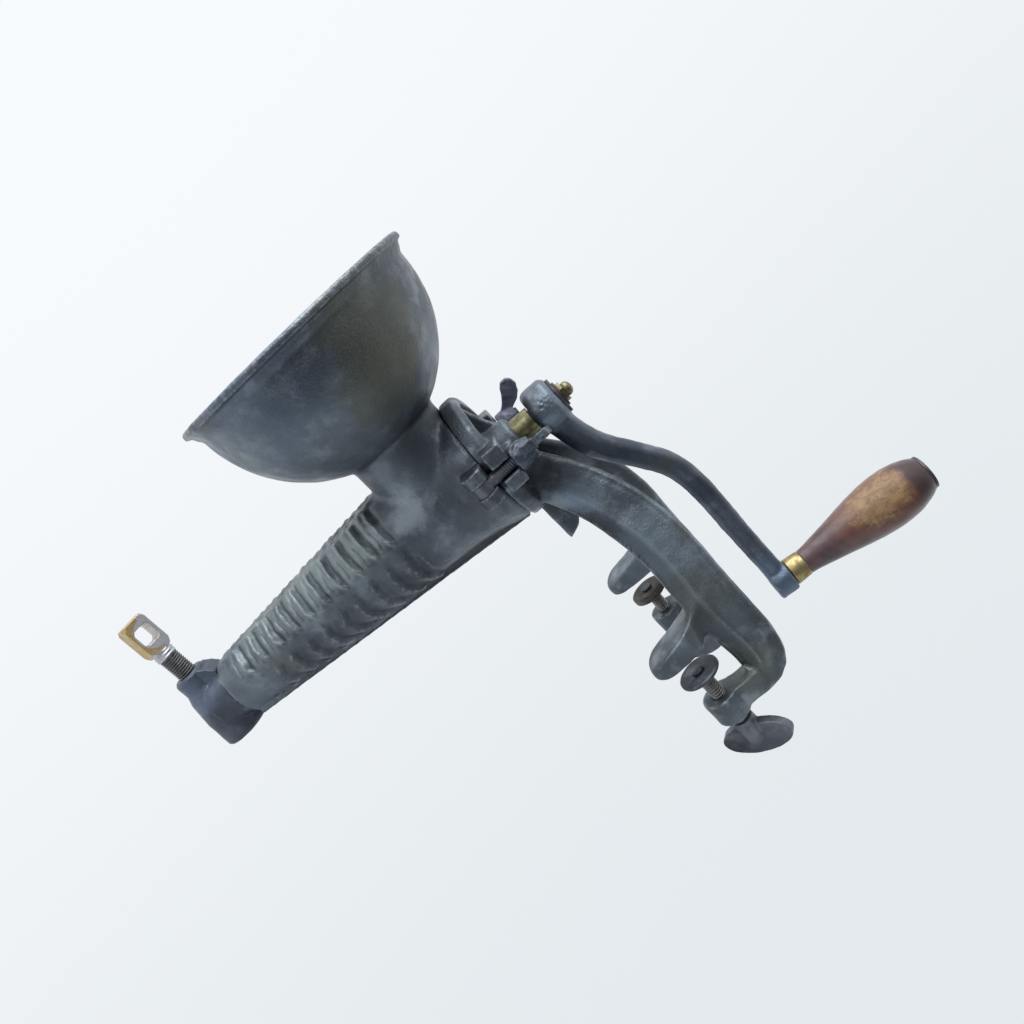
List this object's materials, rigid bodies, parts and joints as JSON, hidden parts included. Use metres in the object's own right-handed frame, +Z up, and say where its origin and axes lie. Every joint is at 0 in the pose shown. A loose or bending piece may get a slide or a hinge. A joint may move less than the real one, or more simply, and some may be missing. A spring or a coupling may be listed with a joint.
{
  "type": "hand crank screw press grinder",
  "caption": "Cast iron hand crank screw grinder with bowl hopper, tapered ribbed barrel, outlet screw, wooden handle and two-legged table clamp.",
  "frame": {"origin": "in the plane of the two table jaws, midway between the two clamp screws", "axes": "+X along the auger shaft towards the crank, +Z up from the table towards the hopper, +Y to the far leg"},
  "size_m": [0.4763, 0.1792, 0.393],
  "materials": {
    "tinned_iron": "worn grey tinned cast iron",
    "dark_iron": "dark oxidised iron",
    "steel": "dull machined steel",
    "brass": "aged brass",
    "wood": "worn dark red varnish over turned wood"
  },
  "bodies": {
    "press": {"press_body": "tinned_iron", "strainer_plate": "dark_iron", "outlet_nozzle": "dark_iron", "stand": "tinned_iron", "bearing_bush": "brass", "swing_pin_near": "dark_iron", "swing_pin_far": "dark_iron"},
    "crank": {"auger": "steel", "thrust_washer": "brass", "crank_arm": "tinned_iron", "crank_washer": "dark_iron", "lock_washer": "dark_iron", "crank_nut": "brass", "cap_nut": "brass", "handle_pin": "steel"},
    "grip": {"handle_ferrule": "brass", "handle_grip": "wood", "handle_washer": "dark_iron"},
    "regulator": {"regulating_screw": "steel"},
    "near_bolt": {"swing_bolt_near": "steel"},
    "far_bolt": {"swing_bolt_far": "steel"},
    "near_nut": {"wing_nut_near": "dark_iron"},
    "far_nut": {"wing_nut_far": "dark_iron"},
    "near_pad": {"clamp_pad_near": "dark_iron"},
    "far_pad": {"clamp_pad_far": "dark_iron"},
    "near_screw": {"clamp_screw_near": "dark_iron"},
    "far_screw": {"clamp_screw_far": "dark_iron"}
  },
  "joints": [
    {"name": "crank_spin", "type": "hinge", "parent": "press", "child": "crank", "pos_m": [0.02, 0, 0.161], "axis": [1, 0, 0], "continuous": true},
    {"name": "handle_spin", "type": "hinge", "parent": "crank", "child": "grip", "pos_m": [0.0785, 0, -0.042], "axis": [0.9979, 0, -0.0645], "continuous": true},
    {"name": "regulator_slide", "type": "slide", "parent": "press", "child": "regulator", "axis": [0, 0, 1], "range_m": [-0.012, 0.01]},
    {"name": "near_bolt_swing", "type": "hinge", "parent": "press", "child": "near_bolt", "pos_m": [-0.0192, -0.0495, 0.161], "axis": [0, 0, -1], "range_deg": [0, 100]},
    {"name": "far_bolt_swing", "type": "hinge", "parent": "press", "child": "far_bolt", "pos_m": [-0.0192, 0.0495, 0.161], "axis": [0, 0, 1], "range_deg": [0, 100]},
    {"name": "near_nut_spin", "type": "hinge", "parent": "near_bolt", "child": "near_nut", "pos_m": [0.012, -0.0495, 0.161], "axis": [1, 0, 0], "continuous": true},
    {"name": "far_nut_spin", "type": "hinge", "parent": "far_bolt", "child": "far_nut", "pos_m": [0.012, 0.0495, 0.161], "axis": [1, 0, 0], "continuous": true},
    {"name": "near_pad_slide", "type": "slide", "parent": "press", "child": "near_pad", "axis": [0, 0, 1], "range_m": [-0.014, 0.003]},
    {"name": "far_pad_slide", "type": "slide", "parent": "press", "child": "far_pad", "axis": [0, 0, 1], "range_m": [-0.014, 0.003]},
    {"name": "near_screw_spin", "type": "hinge", "parent": "near_pad", "child": "near_screw", "pos_m": [0, -0.0695, -0.046], "axis": [0, 0, 1], "range_deg": [-3350, 715]},
    {"name": "far_screw_spin", "type": "hinge", "parent": "far_pad", "child": "far_screw", "pos_m": [0, 0.0695, -0.046], "axis": [0, 0, 1], "range_deg": [-3350, 715]}
  ],
  "couplings": [
    {"joint": "near_pad_slide", "follows": "near_screw_spin", "m_per_rad": 0.00023873},
    {"joint": "far_pad_slide", "follows": "far_screw_spin", "m_per_rad": 0.00023873}
  ]
}
